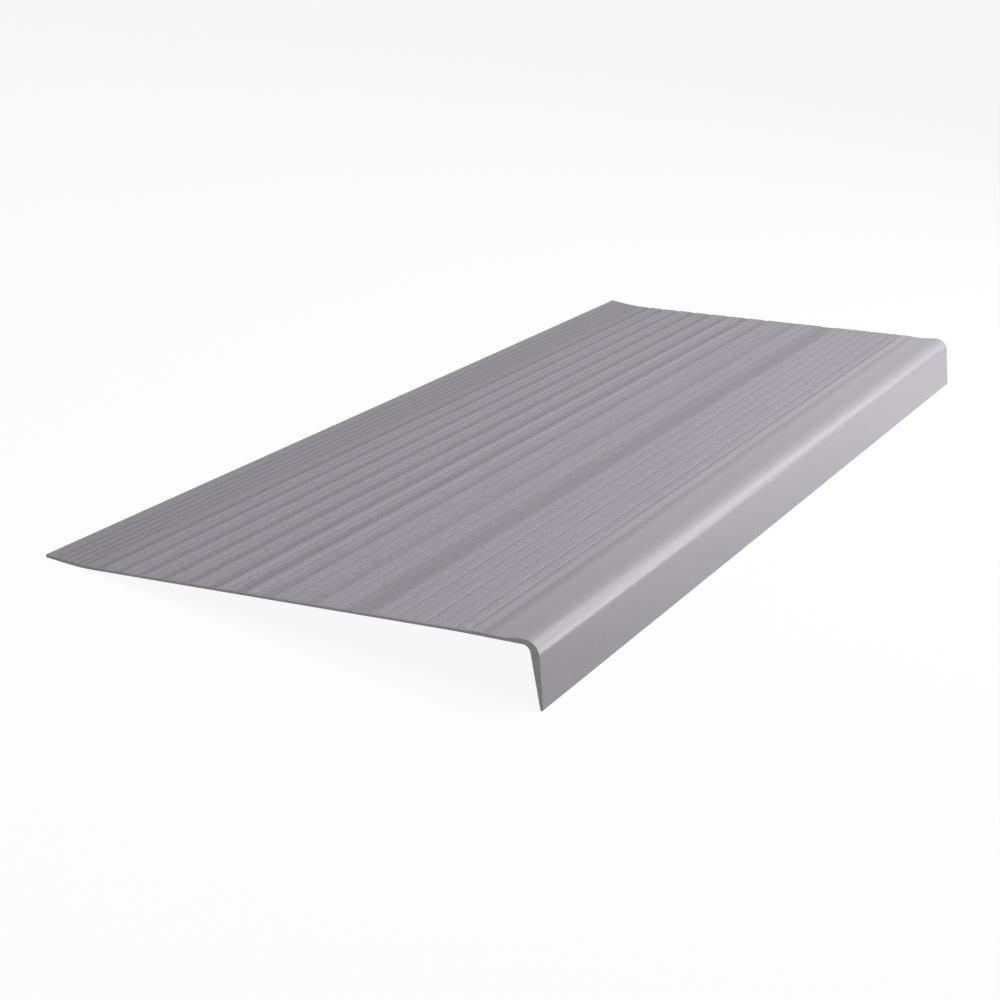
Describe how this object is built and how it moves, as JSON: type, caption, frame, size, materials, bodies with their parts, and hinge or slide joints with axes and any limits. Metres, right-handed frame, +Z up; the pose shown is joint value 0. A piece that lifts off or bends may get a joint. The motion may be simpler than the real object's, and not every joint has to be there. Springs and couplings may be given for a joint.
{
  "type": "vinyl stair tread",
  "caption": "Ribbed vinyl stair tread: a thin flat sheet with lengthwise ribs and a turned-down nose that covers the top and front edge of a stair step",
  "frame": {"origin": "middle of the tread's length and depth, on the floor that it rests on", "axes": "+X along the length, -Y towards the nose, +Y towards the back edge, +Z up from the floor; the tread rests on the tip of its nose and on its curled back edge, so the flat slopes down towards +Y"},
  "size_m": [0.9144, 0.3174, 0.0372],
  "materials": {
    "grey_vinyl": "satin grey vinyl, ribbed on top and smooth over the nose"
  },
  "bodies": {
    "root": {"stair_tread": "grey_vinyl"}
  },
  "joints": []
}
